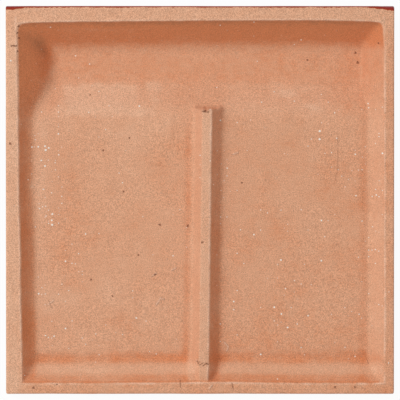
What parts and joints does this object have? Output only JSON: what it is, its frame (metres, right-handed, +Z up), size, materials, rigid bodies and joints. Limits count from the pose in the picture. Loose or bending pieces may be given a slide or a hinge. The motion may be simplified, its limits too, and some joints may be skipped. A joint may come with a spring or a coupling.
{
  "type": "ceramic liner tile",
  "caption": "Square hollow-backed trim tile with a rolled moulding along one edge of its glazed face, a raised bedding rim and a centre rib on its back.",
  "frame": {"origin": "centre of the extents, at the floor the tile lies on", "axes": "+Z up, away from the floor, out of the tile's hollow back; +Y up the face towards the moulding; +X across the tile, to the right when looking at the back with the moulding uppermost"},
  "size_m": [0.15, 0.1496, 0.0231],
  "materials": {
    "fired_clay": "matt unglazed terracotta on the back and three edges, glossy dark red glaze on the face and top edge"
  },
  "bodies": {
    "root": {"tile_body": "fired_clay"}
  },
  "joints": []
}
